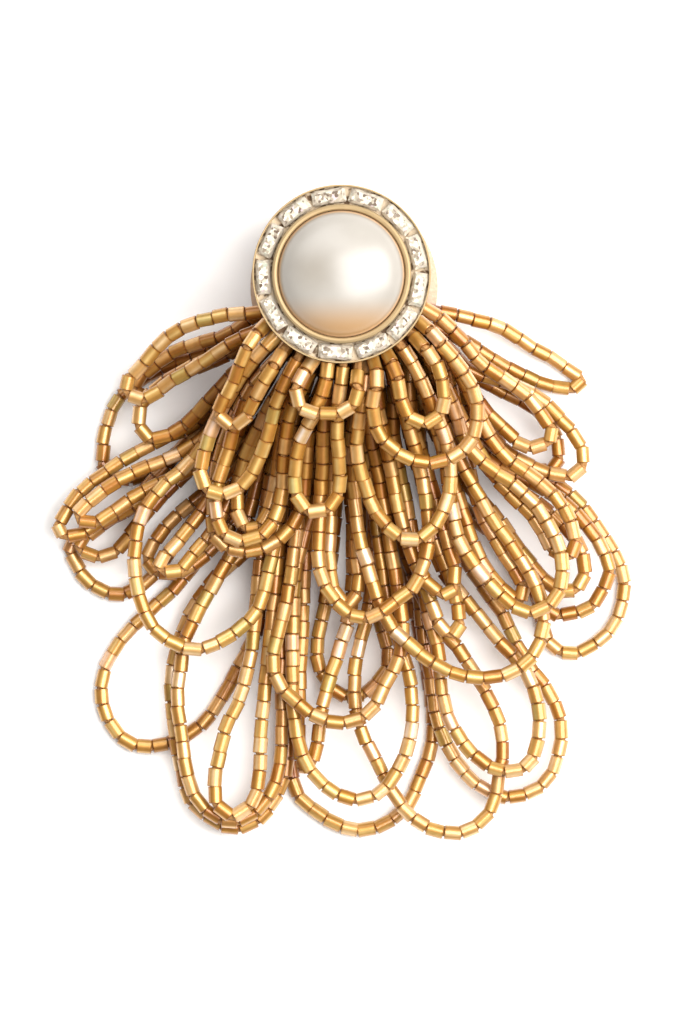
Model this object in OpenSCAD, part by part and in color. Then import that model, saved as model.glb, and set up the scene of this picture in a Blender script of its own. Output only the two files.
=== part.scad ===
// A beaded drop earring that lies face up: a domed pearl in a round stone-set head,
// and a fan of looped bead strands below it. Millimetres, +Z out of the face, +Y up the earring.

/* [Head] */
// Radius of the domed pearl
pearl_radius = 7.05; // [6.8:0.05:7.05]
// Height of the pearl's dome above its short wall
pearl_dome = 3.7; // [2.5:0.1:4.5]
// Number of clear stones round the pearl
stone_count = 13; // [9:1:13]
// Length of one stone along the ring
stone_length = 3.84; // [2.4:0.12:3.84]
// Width of one stone across the ring
stone_width = 1.68; // [1.2:0.02:1.68]
// Radius of the disc behind the head
backing_radius = 10.6; // [9.8:0.1:11]

/* [Strands] */
// Diameter of a strand of beads
strand_diameter = 1.5; // [1.1:0.05:1.5]
// Height from one layer of strands to the next
layer_pitch = 1.7; // [1.7:0.05:2]

/* [Clasp] */
// Width of the hidden clasp's strap
clasp_width = 5; // [3:0.5:7]
// Radius of the clasp's two round plates
clasp_radius = 5.5; // [4:0.25:6.5]

/* [Hidden] */
// One square of the plan grid that the strands are drawn on
grid = 0.25;
// The pearl's centre on the plan grid, counted right and down
head_column = 188;
head_row = 318.5;
// The pearl's centre in the part's own frame
head_y = 26.64;
// Sides of a strand's cross-section, with a corner up and a corner down
strand_sides = 6;
// Longest stretch between two rings of a strand
ring_step = 4.4;
// Where the strands start, round the sewing pad
root_radius = 9.86;
first_slot_angle = 24;
slot_angle = 9.6;
// Height of the lowest layer over the backing, and where the strands come down to the surface
root_rise = 3.7;
rise_start = 10;
rise_end = 28;
// Where a strand leaves its root's layer for its own
join_start = 9.5;
join_end = 13;
// Round edges
round_sides = 96;
dome_steps = 18;
// Heights of the head's parts over the surface
clasp_height = 2.75;
clasp_plate = 0.7;
backing_top = 3.45;
pad_radius = 9.5;
head_bottom = 17.35;
seat_top = 18.05;
stone_bottom = 18.15;
girdle_height = 0.95;
crown_height = 1.28;
stone_height = 1.5;
rim_top = 19.45;
rim_edge = 0.05;
bezel_inner = 7.15;
bezel_outer = 7.8;
bezel_top = 20.35;
rim_inner = 9.8;
rim_outer = 10;
pearl_wall = 1.1;
// Colours
pearl_white = [0.93, 0.9, 0.86];
gold = [0.86, 0.68, 0.34];
crystal_grey = [0.86, 0.87, 0.88];
backing_beige = [0.87, 0.76, 0.66];
bead_gold = [0.76, 0.58, 0.33];

// One row for each looped strand, from the bottom layer to the top one, and four last rows
// that fill the fan's middle and right side:
// its name, its layer, the slot and layer of its left root, those of its right root,
// and the points of its route on the plan grid, from the left root round to the right one.
LOOP_NAME = 0;
LOOP_LAYER = 1;
LOOP_LEFT = 2;
LOOP_RIGHT = 3;
LOOP_ROUTE = 4;
SLOT = 0;
SLOT_LAYER = 1;
LOOPS = [
    ["bead_loop_01", 0, [1, 0], [2, 0], [
        [134, 350], [121, 355], [107, 360], [96, 366], [87, 374], [82, 385], [80, 397], [81, 406],
        [89, 410], [99, 408], [110, 401], [122, 390], [135, 374]
    ]],
    ["bead_loop_02", 0, [3, 0], [4, 0], [
        [132, 394], [109, 413], [86, 427], [72, 434], [65, 441], [68, 449], [73, 456], [80, 461],
        [89, 462], [98, 458], [108, 446], [124, 425], [144, 398]
    ]],
    ["bead_loop_03", 0, [5, 0], [6, 0], [
        [146, 412], [131, 434], [112, 460], [100, 471], [90, 481], [82, 493], [79, 506], [83, 520],
        [91, 529], [103, 531], [116, 527], [127, 519], [135, 507], [142, 494], [149, 480], [154, 460],
        [160, 425], [169, 392]
    ]],
    ["bead_loop_04", 0, [7, 0], [9, 0], [
        [181, 392], [172, 440], [164, 485], [163, 520], [165, 540], [168, 553], [177, 561], [187, 567],
        [197, 569], [208, 566], [217, 559], [223, 547], [228, 533], [229, 515], [227, 498], [222, 475],
        [218, 450], [211, 410]
    ]],
    ["bead_loop_05", 0, [11, 0], [12, 0], [
        [238, 405], [244, 424], [253, 432], [263, 442], [271, 453], [277, 465], [279, 476], [283, 485],
        [292, 489], [302, 485], [310, 478], [315, 467], [316, 455], [311, 443], [304, 432], [296, 421],
        [286, 413], [274, 407], [262, 402], [251, 393], [240, 377]
    ]],
    ["bead_loop_06", 0, [14, 0], [13, 0], [
        [240, 336], [252, 339], [263, 343], [273, 350], [283, 355], [291, 361], [297, 366], [292, 369],
        [283, 368], [272, 364], [260, 358], [249, 351], [238, 345]
    ]],
    ["bead_loop_07", 1, [0, 1], [1, 1], [
        [136, 345], [122, 349], [110, 354], [102, 360], [95, 367], [98, 373], [108, 367], [122, 360],
        [137, 354]
    ]],
    ["bead_loop_08", 1, [2, 1], [3, 1], [
        [132, 379], [112, 400], [92, 422], [76, 434], [69, 440], [74, 444], [81, 445], [88, 441],
        [94, 433], [105, 420], [120, 405], [140, 385]
    ]],
    ["bead_loop_09", 1, [4, 1], [5, 1], [
        [147, 396], [124, 418], [110, 430], [104, 438], [100, 446], [105, 452], [112, 453], [121, 449],
        [130, 441], [141, 428], [157, 403]
    ]],
    ["bead_loop_10", 1, [6, 1], [7, 1], [
        [170, 403], [148, 440], [131, 455], [121, 468], [115, 482], [111, 497], [111, 512], [113, 528],
        [116, 543], [120, 556], [129, 564], [139, 568], [149, 565], [157, 556], [162, 545], [164, 522],
        [165, 480], [174, 430], [181, 400]
    ]],
    ["bead_loop_11", 1, [8, 1], [9, 1], [
        [188, 400], [184, 440], [180, 470], [177, 490], [181, 501], [189, 508], [197, 508], [204, 502],
        [209, 494], [208, 484], [205, 474], [202, 450], [200, 400]
    ]],
    ["bead_loop_12", 1, [10, 1], [11, 1], [
        [212, 400], [220, 440], [225, 480], [229, 505], [231, 518], [236, 531], [243, 542], [252, 550],
        [264, 554], [275, 551], [283, 543], [287, 530], [286, 516], [281, 505], [274, 496], [267, 484],
        [262, 473], [253, 460], [240, 440], [227, 410]
    ]],
    ["bead_loop_13", 1, [13, 1], [12, 1], [
        [245, 362], [262, 371], [275, 378], [283, 386], [286, 396], [284, 405], [276, 406], [266, 400],
        [255, 391], [242, 380]
    ]],
    ["bead_loop_14", 2, [2, 2], [3, 2], [
        [137, 370], [120, 386], [105, 393], [92, 400], [80, 408], [70, 416], [63, 426], [60, 433],
        [66, 436], [77, 431], [89, 425], [101, 417], [113, 408], [126, 398], [144, 382]
    ]],
    ["bead_loop_15", 2, [4, 2], [5, 2], [
        [153, 400], [143, 435], [133, 453], [125, 467], [118, 481], [115, 497], [114, 512], [116, 526],
        [118, 542], [122, 554], [130, 562], [139, 565], [148, 561], [156, 552], [160, 540], [161, 522],
        [161, 500], [161, 470], [162, 430]
    ]],
    ["bead_loop_16", 2, [6, 2], [7, 2], [
        [173, 430], [170, 480], [169, 510], [169, 530], [172, 541], [176, 534], [178, 520], [182, 503],
        [187, 487], [191, 474], [193, 440], [191, 400]
    ]],
    ["bead_loop_17", 2, [8, 2], [9, 2], [
        [200, 400], [202, 420], [202, 450], [199, 474], [196, 485], [194, 497], [194, 510], [197, 524],
        [204, 538], [212, 553], [221, 564], [231, 569], [241, 570], [250, 566], [257, 556], [259, 545],
        [261, 532], [259, 519], [254, 508], [248, 498], [240, 486], [231, 476], [224, 462], [216, 440],
        [208, 400]
    ]],
    ["bead_loop_18", 2, [10, 2], [11, 2], [
        [238, 400], [254, 425], [268, 448], [278, 465], [284, 471], [292, 471], [300, 468], [306, 460],
        [309, 451], [305, 440], [297, 429], [288, 420], [276, 413], [263, 407], [249, 398], [237, 383]
    ]],
    ["bead_loop_19", 2, [13, 2], [12, 2], [
        [238, 353], [247, 362], [258, 365], [269, 369], [279, 375], [288, 384], [295, 393], [297, 402],
        [293, 408], [284, 408], [273, 404], [262, 397], [253, 386], [243, 372]
    ]],
    ["bead_loop_20", 3, [1, 3], [2, 3], [
        [136, 352], [120, 360], [106, 368], [98, 376], [97, 385], [100, 391], [108, 391], [117, 386],
        [126, 377], [136, 366]
    ]],
    ["bead_loop_21", 3, [3, 3], [4, 3], [
        [138, 381], [116, 398], [97, 406], [84, 413], [75, 420], [69, 427], [75, 430], [83, 426],
        [96, 417], [117, 407], [144, 392]
    ]],
    ["bead_loop_22", 3, [5, 3], [6, 3], [
        [158, 400], [153, 430], [150, 460], [146, 495], [141, 512], [136, 522], [133, 534], [131, 547],
        [132, 557], [138, 562], [145, 559], [150, 550], [151, 538], [152, 520], [154, 500], [157, 470],
        [161, 430], [170, 395]
    ]],
    ["bead_loop_23", 3, [7, 3], [8, 3], [
        [183, 390], [179, 410], [173, 430], [168, 447], [166, 470], [166, 492], [166, 512], [169, 530],
        [175, 543], [184, 551], [195, 555], [206, 551], [213, 542], [218, 530], [220, 515], [218, 497],
        [214, 484], [209, 465], [205, 440], [200, 400]
    ]],
    ["bead_loop_24", 3, [9, 3], [10, 3], [
        [206, 375], [212, 400], [220, 440], [227, 470], [232, 490], [233, 505], [236, 517], [242, 528],
        [249, 536], [257, 541], [266, 542], [273, 538], [276, 530], [277, 515], [274, 503], [268, 493],
        [260, 484], [251, 473], [241, 461], [233, 450], [228, 425], [220, 395], [214, 371]
    ]],
    ["bead_loop_25", 3, [11, 3], [12, 3], [
        [222, 370], [236, 400], [260, 430], [275, 450], [284, 459], [291, 461], [297, 455], [297, 446],
        [284, 427], [272, 418], [257, 408], [242, 388], [230, 367]
    ]],
    ["bead_loop_26", 3, [14, 3], [13, 3], [
        [240, 345], [252, 359], [263, 366], [272, 373], [279, 382], [283, 390], [278, 395], [270, 395],
        [262, 388], [254, 380], [242, 365], [231, 351]
    ]],
    ["bead_loop_27", 4, [0, 4], [1, 4], [
        [139, 336], [129, 338], [119, 341], [110, 346], [103, 353], [97, 360], [91, 368], [94, 373],
        [101, 373], [110, 367], [120, 361], [131, 354], [140, 348]
    ]],
    ["bead_loop_28", 4, [2, 4], [5, 4], [
        [135, 378], [120, 402], [106, 415], [98, 427], [95, 441], [95, 455], [98, 467], [105, 479],
        [114, 485], [124, 487], [134, 483], [144, 476], [151, 467], [154, 457], [157, 443], [160, 425],
        [163, 400]
    ]],
    ["bead_loop_29", 4, [3, 4], [4, 4], [
        [143, 385], [135, 405], [125, 425], [113, 440], [106, 450], [112, 452], [122, 443], [132, 430],
        [142, 410], [151, 390]
    ]],
    ["bead_loop_30", 4, [6, 4], [9, 4], [
        [170, 400], [167, 440], [163, 466], [159, 482], [157, 494], [161, 504], [168, 511], [176, 517],
        [185, 520], [194, 519], [202, 514], [207, 504], [212, 495], [215, 485], [214, 465], [210, 440],
        [205, 410], [200, 380]
    ]],
    ["bead_loop_31", 4, [12, 4], [13, 4], [
        [235, 400], [245, 432], [249, 443], [254, 452], [261, 460], [269, 464], [269, 457], [263, 447],
        [259, 440], [253, 430], [244, 400]
    ]],
    ["bead_loop_32", 5, [8, 5], [11, 5], [
        [193, 390], [194, 420], [196, 436], [200, 450], [204, 463], [210, 476], [219, 485], [229, 493],
        [240, 498], [251, 500], [262, 498], [271, 493], [277, 484], [279, 473], [276, 460], [268, 445],
        [256, 428], [243, 405], [232, 380]
    ]],
    ["bead_loop_33", 5, [3, 5], [6, 5], [
        [144, 375], [133, 400], [130, 425], [132, 437], [140, 442], [150, 442], [159, 438], [166, 431],
        [170, 421], [172, 405], [174, 385]
    ]],
    ["bead_loop_34", 5, [4, 5], [5, 5], [
        [152, 385], [143, 405], [141, 418], [142, 428], [147, 433], [153, 428], [157, 417], [160, 400],
        [164, 378]
    ]],
    ["bead_loop_35", 6, [6, 6], [10, 6], [
        [180, 390], [179, 415], [178, 432], [178, 447], [180, 457], [186, 466], [193, 472], [202, 472],
        [211, 466], [220, 459], [225, 449], [227, 437], [226, 420], [222, 400], [216, 380]
    ]],
    ["bead_loop_36", 6, [3, 6], [5, 6], [
        [145, 375], [136, 400], [132, 415], [132, 427], [136, 435], [144, 438], [152, 435], [158, 428],
        [161, 417], [162, 402], [164, 385]
    ]],
    ["bead_loop_37", 6, [11, 6], [12, 6], [
        [234, 400], [238, 425], [242, 440], [249, 450], [257, 460], [265, 467], [274, 470], [282, 466],
        [287, 457], [287, 446], [283, 434], [276, 423], [267, 414], [256, 406], [246, 397], [237, 375]
    ]],
    ["bead_loop_38", 7, [6, 7], [7, 7], [
        [178, 376], [174, 384], [170, 392], [168, 401], [167, 411], [169, 420], [176, 425], [183, 422],
        [187, 414], [187, 403], [186, 390], [187, 375]
    ]],
    ["bead_loop_39", 7, [8.5, 6], [11, 7], [
        [198, 372], [196, 384], [195, 397], [198, 411], [202, 422], [208, 431], [214, 436], [222, 437],
        [229, 432], [235, 422], [237, 410], [236, 398], [230, 380]
    ]],
    ["bead_loop_40", 7, [2, 7], [4, 7], [
        [141, 367], [134, 379], [129, 390], [126, 400], [125, 409], [130, 416], [138, 416], [145, 411],
        [151, 401], [155, 390], [158, 378]
    ]],
    ["bead_loop_41", 8, [5, 7], [8, 7], [
        [169, 367], [168, 374], [173, 380], [181, 381], [189, 380], [194, 375], [195, 366]
    ]],
    ["bead_loop_42", 8, [9, 7], [13, 7], [
        [204, 366], [202, 377], [204, 388], [210, 396], [218, 401], [227, 403], [236, 401], [244, 396],
        [248, 388], [249, 377], [245, 366], [237, 355]
    ]],
    ["bead_loop_43", 8, [10, 7], [12, 7], [
        [213, 364], [215, 375], [219, 383], [226, 385], [232, 381], [234, 373], [232, 362]
    ]],
    ["bead_loop_44", 8, [1, 7], [3, 7], [
        [145, 353], [141, 363], [137, 372], [133, 378], [136, 385], [142, 385], [148, 376], [154, 365]
    ]],
    ["bead_loop_45", 5, [12, 5], [13, 5], [
        [243, 384], [250, 398], [257, 409], [265, 418], [273, 426], [279, 435], [284, 443], [290, 445],
        [293, 439], [291, 429], [284, 418], [275, 410], [264, 402], [255, 391], [249, 378]
    ]],
    ["bead_loop_46", 4, [10, 4], [11, 4], [
        [212, 395], [217, 420], [221, 440], [226, 458], [230, 470], [235, 479], [239, 480], [241, 473],
        [239, 462], [235, 449], [230, 435], [225, 415], [220, 390]
    ]],
    ["bead_loop_47", 4, [7, 4], [8, 4], [
        [187, 372], [184, 388], [183, 405], [183, 430], [183, 452], [186, 463], [191, 467], [195, 460],
        [195, 445], [194, 420], [193, 395], [193, 376]
    ]],
    ["bead_loop_48", 5, [9, 5], [10, 5], [
        [205, 380], [209, 400], [213, 420], [217, 436], [222, 450], [229, 459], [236, 462], [239, 455],
        [236, 440], [231, 422], [226, 405], [220, 388], [213, 372]
    ]]
];

// Small helpers
function smooth(x) = let (c = min(1, max(0, x))) c * c * (3 - 2 * c);
function blend(a, b, share) = a + (b - a) * share;
function unit(v) = v / norm(v);
function last(list) = list[len(list) - 1];

// Plan route of a strand: the grid points in millimetres, with a root point at each end
function from_grid(p) = [(p[0] - head_column) * grid, (head_row - p[1]) * grid];
function slot_direction(slot) =
    let (a = first_slot_angle + slot * slot_angle)
    [-cos(a), -sin(a)];
function route_points(row) = concat(
    [slot_direction(row[LOOP_LEFT][SLOT]) * root_radius],
    [for (p = row[LOOP_ROUTE]) from_grid(p)],
    [slot_direction(row[LOOP_RIGHT][SLOT]) * root_radius]
);

// Heading at each route point: radial at the roots, turned towards the nearer neighbour elsewhere
function heading(points, i) =
    i == 0 ? unit(points[0]) :
    i == len(points) - 1 ? -unit(points[i]) :
    let (before = points[i] - points[i - 1])
    let (after = points[i + 1] - points[i])
    unit(unit(before) * norm(after) + unit(after) * norm(before));

// A smooth curve between two route points
function curve_point(a, b, da, db, s) =
    let (reach = norm(b - a))
    (2 * s * s * s - 3 * s * s + 1) * a
    + (s * s * s - 2 * s * s + s) * reach * da
    + (3 * s * s - 2 * s * s * s) * b
    + (s * s * s - s * s) * reach * db;

// Height of a strand over the surface at a distance from the head's centre
function strand_height(row, radius, root_layer) =
    let (layer = blend(root_layer, row[LOOP_LAYER], smooth((radius - join_start) / (join_end - join_start))))
    let (rise = root_rise * (1 - smooth((radius - rise_start) / (rise_end - rise_start))))
    strand_diameter / 2 + layer * layer_pitch + rise;

// Centres of a strand's rings
function strand_line(row) =
    let (points = route_points(row))
    let (count = len(points))
    let (plan = [
        for (i = [0 : count - 2])
            let (steps = ceil(norm(points[i + 1] - points[i]) / ring_step))
            for (k = [0 : steps - 1])
                curve_point(
                    points[i], points[i + 1], heading(points, i), heading(points, i + 1), k / steps
                )
    ])
    let (line = concat(plan, [last(points)]))
    [
        for (i = [0 : len(line) - 1])
            let (side = i < len(line) / 2 ? LOOP_LEFT : LOOP_RIGHT)
            [line[i][0], line[i][1], strand_height(row, norm(line[i]), row[side][SLOT_LAYER])]
    ];

// A tube along a line of ring centres, with its cross-section's corners up and down
module tube(line, radius, sides) {
    count = len(line);
    rings = [
        for (i = [0 : count - 1])
            let (along = unit(line[min(i + 1, count - 1)] - line[max(i - 1, 0)]))
            let (across = unit(cross([0, 0, 1], along)))
            let (over = cross(along, across))
            for (j = [0 : sides - 1])
                line[i] + radius * (cos(j * 360 / sides) * over + sin(j * 360 / sides) * across)
    ];
    walls = [
        for (i = [0 : count - 2])
            for (j = [0 : sides - 1])
                let (a = i * sides + j)
                let (b = i * sides + (j + 1) % sides)
                for (face = [[a, b, b + sides], [a, b + sides, a + sides]])
                    face
    ];
    first_cap = [[for (j = [sides - 1 : -1 : 0]) j]];
    last_cap = [[for (j = [0 : sides - 1]) (count - 1) * sides + j]];
    polyhedron(points = rings, faces = concat(walls, first_cap, last_cap), convexity = 10);
}

module bead_loop(row) {
    color(bead_gold)
        tube(strand_line(row), strand_diameter / 2, strand_sides);
}

// The pearl: a short upright wall with a dome over it
module pearl() {
    profile = concat(
        [[0, 0], [pearl_radius, 0]],
        [
            for (i = [0 : dome_steps - 1])
                let (a = 90 * i / dome_steps)
                [pearl_radius * cos(a), pearl_wall + pearl_dome * sin(a)]
        ],
        [[0, pearl_wall + pearl_dome]]
    );
    color(pearl_white)
        translate([0, 0, stone_bottom])
            rotate_extrude($fn = round_sides)
                polygon(profile);
}

// The soldered metal: seat plate, outer rim and the bezel with its rolled lip
module setting() {
    profile = [
        [0, head_bottom],
        [rim_outer - 0.25, head_bottom],
        [rim_outer, head_bottom + 0.25],
        [rim_outer, rim_top - rim_edge],
        [rim_outer - rim_edge, rim_top],
        [rim_inner + rim_edge, rim_top],
        [rim_inner, rim_top - rim_edge],
        [rim_inner, seat_top],
        [bezel_outer, seat_top],
        [bezel_outer, bezel_top - 0.3],
        [bezel_outer - 0.09, bezel_top - 0.09],
        [bezel_outer - 0.3, bezel_top],
        [bezel_inner + 0.12, bezel_top - 0.05],
        [bezel_inner, bezel_top - 0.25],
        [bezel_inner, seat_top],
        [0, seat_top]
    ];
    color(gold)
        rotate_extrude($fn = round_sides)
            polygon(profile);
}

// The eight corners of a stone's outline at a height: a rectangle with small cuts at the corners
// next to the pearl and long cuts at the two next to the rim, which follow the rim's circle
function stone_outline(half_width, half_length, inner_cut, outer_cut, height) =
    let (side_cut = outer_cut / 3)
    [
        for (p = [
            [half_width, half_length - outer_cut], [half_width - side_cut, half_length],
            [inner_cut - half_width, half_length], [-half_width, half_length - inner_cut],
            [-half_width, inner_cut - half_length], [inner_cut - half_width, -half_length],
            [half_width - side_cut, -half_length], [half_width, outer_cut - half_length]
        ])
            [p[0], p[1], height]
    ];

// One stone with cut corners: sole, girdle, table, and a raised point in each crown facet
module stone() {
    corners = 8;
    steps = [
        ["side inset", "end inset", "inner cut", "outer cut", "height"],
        [0.2, 0.24, 0.1, 0.4, 0],
        [0, 0, 0.15, 0.48, girdle_height],
        [0.34, 0.4, 0.15, 0.4, stone_height],
        [0.1, 0.12, 0.15, 0.46, crown_height]
    ];
    rings = [
        for (k = [1 : len(steps) - 1])
            let (s = steps[k])
            stone_outline(stone_width / 2 - s[0], stone_length / 2 - s[1], s[2], s[3], s[4])
    ];
    peaks = [for (j = [0 : corners - 1]) (rings[3][j] + rings[3][(j + 1) % corners]) / 2];
    girdle = corners;
    table = 2 * corners;
    peak = 3 * corners;
    facets = [
        for (j = [0 : corners - 1])
            let (k = (j + 1) % corners)
            for (face = [
                [j, girdle + j, girdle + k, k],
                [peak + j, girdle + k, girdle + j],
                [peak + j, girdle + j, table + j],
                [peak + j, table + j, table + k],
                [peak + j, table + k, girdle + k]
            ])
                face
    ];
    sole_face = [[for (j = [0 : corners - 1]) j]];
    table_face = [[for (j = [corners - 1 : -1 : 0]) table + j]];
    polyhedron(
        points = concat(rings[0], rings[1], rings[2], peaks),
        faces = concat(facets, sole_face, table_face),
        convexity = 4
    );
}

module crystals() {
    stone_ring = (bezel_outer + rim_inner) / 2 - 0.05;
    color(crystal_grey)
        for (i = [0 : stone_count - 1])
            rotate([0, 0, 90 - 4.5 + (i + 0.5) * 360 / stone_count])
                translate([stone_ring, 0, stone_bottom])
                    stone();
}

// The disc behind the head and the pad that the strands are sewn to
module backing() {
    color(backing_beige) {
        translate([0.3, -1.2, clasp_height])
            cylinder(h = backing_top - clasp_height, r = backing_radius, $fn = round_sides);
        translate([0, 0, clasp_height])
            cylinder(h = head_bottom - clasp_height, r = pad_radius, $fn = round_sides);
    }
}

// The hidden clasp: one strap bent into a U between two round plates
module ear_clip() {
    bend_y = 6;
    bend_outer = clasp_height / 2;
    bend_inner = bend_outer - clasp_plate;
    bend = concat(
        [for (a = [-90 : 15 : 90]) [bend_y + bend_outer * cos(a), bend_outer + bend_outer * sin(a)]],
        [for (a = [90 : -15 : -90]) [bend_y + bend_inner * cos(a), bend_outer + bend_inner * sin(a)]]
    );
    color(gold) {
        cylinder(h = clasp_plate, r = clasp_radius, $fn = round_sides);
        translate([0, 0, clasp_height - clasp_plate])
            cylinder(h = clasp_plate, r = clasp_radius, $fn = round_sides);
        for (z = [0, clasp_height - clasp_plate])
            translate([-clasp_width / 2, 0, z])
                cube([clasp_width, bend_y, clasp_plate]);
        rotate([90, 0, 90])
            linear_extrude(height = clasp_width, center = true)
                polygon(bend);
    }
}

translate([0, head_y, 0]) {
    pearl();
    setting();
    crystals();
    backing();
    ear_clip();
    for (row = LOOPS)
        bead_loop(row);
}
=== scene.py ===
"""Beaded earring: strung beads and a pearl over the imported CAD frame, and looks for every piece."""

import math
import random

import bpy
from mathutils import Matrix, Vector
from mathutils.kdtree import KDTree


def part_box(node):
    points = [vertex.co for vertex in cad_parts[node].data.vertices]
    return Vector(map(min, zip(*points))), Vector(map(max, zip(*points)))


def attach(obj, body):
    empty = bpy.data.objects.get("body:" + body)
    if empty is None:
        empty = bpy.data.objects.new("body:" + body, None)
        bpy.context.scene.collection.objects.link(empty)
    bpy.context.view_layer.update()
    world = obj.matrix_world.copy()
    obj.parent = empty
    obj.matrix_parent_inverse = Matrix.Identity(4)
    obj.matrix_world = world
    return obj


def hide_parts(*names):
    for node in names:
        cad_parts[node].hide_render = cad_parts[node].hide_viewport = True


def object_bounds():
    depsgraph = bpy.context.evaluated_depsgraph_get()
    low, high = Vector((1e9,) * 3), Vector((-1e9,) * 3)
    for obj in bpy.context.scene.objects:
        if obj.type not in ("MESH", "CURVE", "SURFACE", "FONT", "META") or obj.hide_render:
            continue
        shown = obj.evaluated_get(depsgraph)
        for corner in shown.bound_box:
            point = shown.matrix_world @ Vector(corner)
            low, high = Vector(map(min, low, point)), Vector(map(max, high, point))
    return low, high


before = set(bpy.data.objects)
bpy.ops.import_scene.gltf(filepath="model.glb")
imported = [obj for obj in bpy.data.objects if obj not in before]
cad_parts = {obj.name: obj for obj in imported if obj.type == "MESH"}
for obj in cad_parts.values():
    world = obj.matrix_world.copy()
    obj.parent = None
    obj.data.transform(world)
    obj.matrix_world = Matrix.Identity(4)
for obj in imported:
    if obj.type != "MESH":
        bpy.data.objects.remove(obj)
cad_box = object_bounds()

# Places and sizes from part.scad: lengths in metres, column and row in grid steps, angles in degrees
GRID = 0.00025
HEAD_COLUMN = 188
HEAD_ROW = 318.5
HEAD_Y = 0.02664
STRAND_RADIUS = 0.00075
LAYER_PITCH = 0.0017
ROOT_RADIUS = 0.00986
FIRST_SLOT_ANGLE = 24
SLOT_ANGLE = 9.6
ROOT_RISE = 0.0037
RISE_START = 0.010
RISE_END = 0.028
JOIN_START = 0.0095
JOIN_END = 0.013

# The beads
BEAD_RADIUS = 0.00082
BEAD_LENGTH = 0.00196
BEAD_GAP = 0.00003
BEAD_SIDES = 16
BEAD_CHAMFER = 0.00007
HOLE_RADIUS = 0.00050
THREAD_RADIUS = 0.00047
THREAD_SIDES = 8
ROUTE_STEP = 0.0002
# The hole's mouth is wider at the bead's face than inside
HOLE_FLARE = 1.1
# How deep the hole's mouth goes and how far the darker rim reaches along the bead, in chamfers
HOLE_DEPTH = 2
RIM_REACH = 3
# How far a bead's middle goes out to the curve that its two ends cut short
BULGE_SHARE = 0.7
# How much of the room that a bend needs on its inner side is left between two beads
BEND_GAP_SHARE = 0.5
# Another bead is strung where more than this share of a bead's length is left
LAST_BEAD_SHARE = 0.9

# Seeded differences: how far a bead's ends lie off the strand's line, and the least and most
# of a bead's length, thickness and tone and of a strand's tone
BEAD_SEED = 7
BEAD_WANDER = 0.00008
LENGTH_SPREAD = (0.90, 1.08)
THICKNESS_SPREAD = (0.92, 1.01)
TONE_SPREAD = (0.93, 1.17)
STRAND_TONE_SPREAD = (0.9, 1.1)

# The beads' base colours: name, colour, and how many in a hundred are of each
BEAD_TINTS = [
    ("tan gold", (0.60, 0.34, 0.086), 44),
    ("pale gold", (0.70, 0.43, 0.17), 28),
    ("amber", (0.51, 0.24, 0.038), 15),
    ("olive gold", (0.52, 0.34, 0.086), 6),
    ("peach", (0.74, 0.455, 0.245), 4),
    ("bright lining", (0.78, 0.56, 0.34), 3),
]
# Columns of that table
TINT_COLOR = 1
BEADS_IN_HUNDRED = 2
# Where each bead's colour and painted shade are kept on its points, and the colour of the thread's
# points
BEAD_TINT_LAYER = "bead_tint"
THREAD_TINT = (0.1, 0.06, 0.03, 1.0)
# How much of the glass's cloudiness shows
GLASS_CLOUD_SHARE = 0.6
# How much darker a bead is at its ends and just beside them: partly the glass's own darker ends,
# partly painted shade in its hole and in the joints between beads
END_SHADE = 0.42
RIM_SHADE = 0.72
# Pale bands along a bead: its lining seen through the glass, made paler as painted highlight streaks;
# how many there are, and the shade between and on them
BANDS = 4
BAND_LOW = 0.68
BAND_HIGH = 1.26
# How fast red, green and blue go as a bead's colour gets darker
DEEPEN = (0.72, 1.2, 2.2)
# Painted shade: strands over a bead darken it. How far off they count, how much higher they have to
# be, the step between the points that are counted, how many are full cover, and the shade there
COVER_REACH = 0.0034
COVER_RISE = 0.0009
COVER_STEP = 0.001
COVER_FULL = 9.0
COVER_PAINTED_SHADE = 0.42

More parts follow.
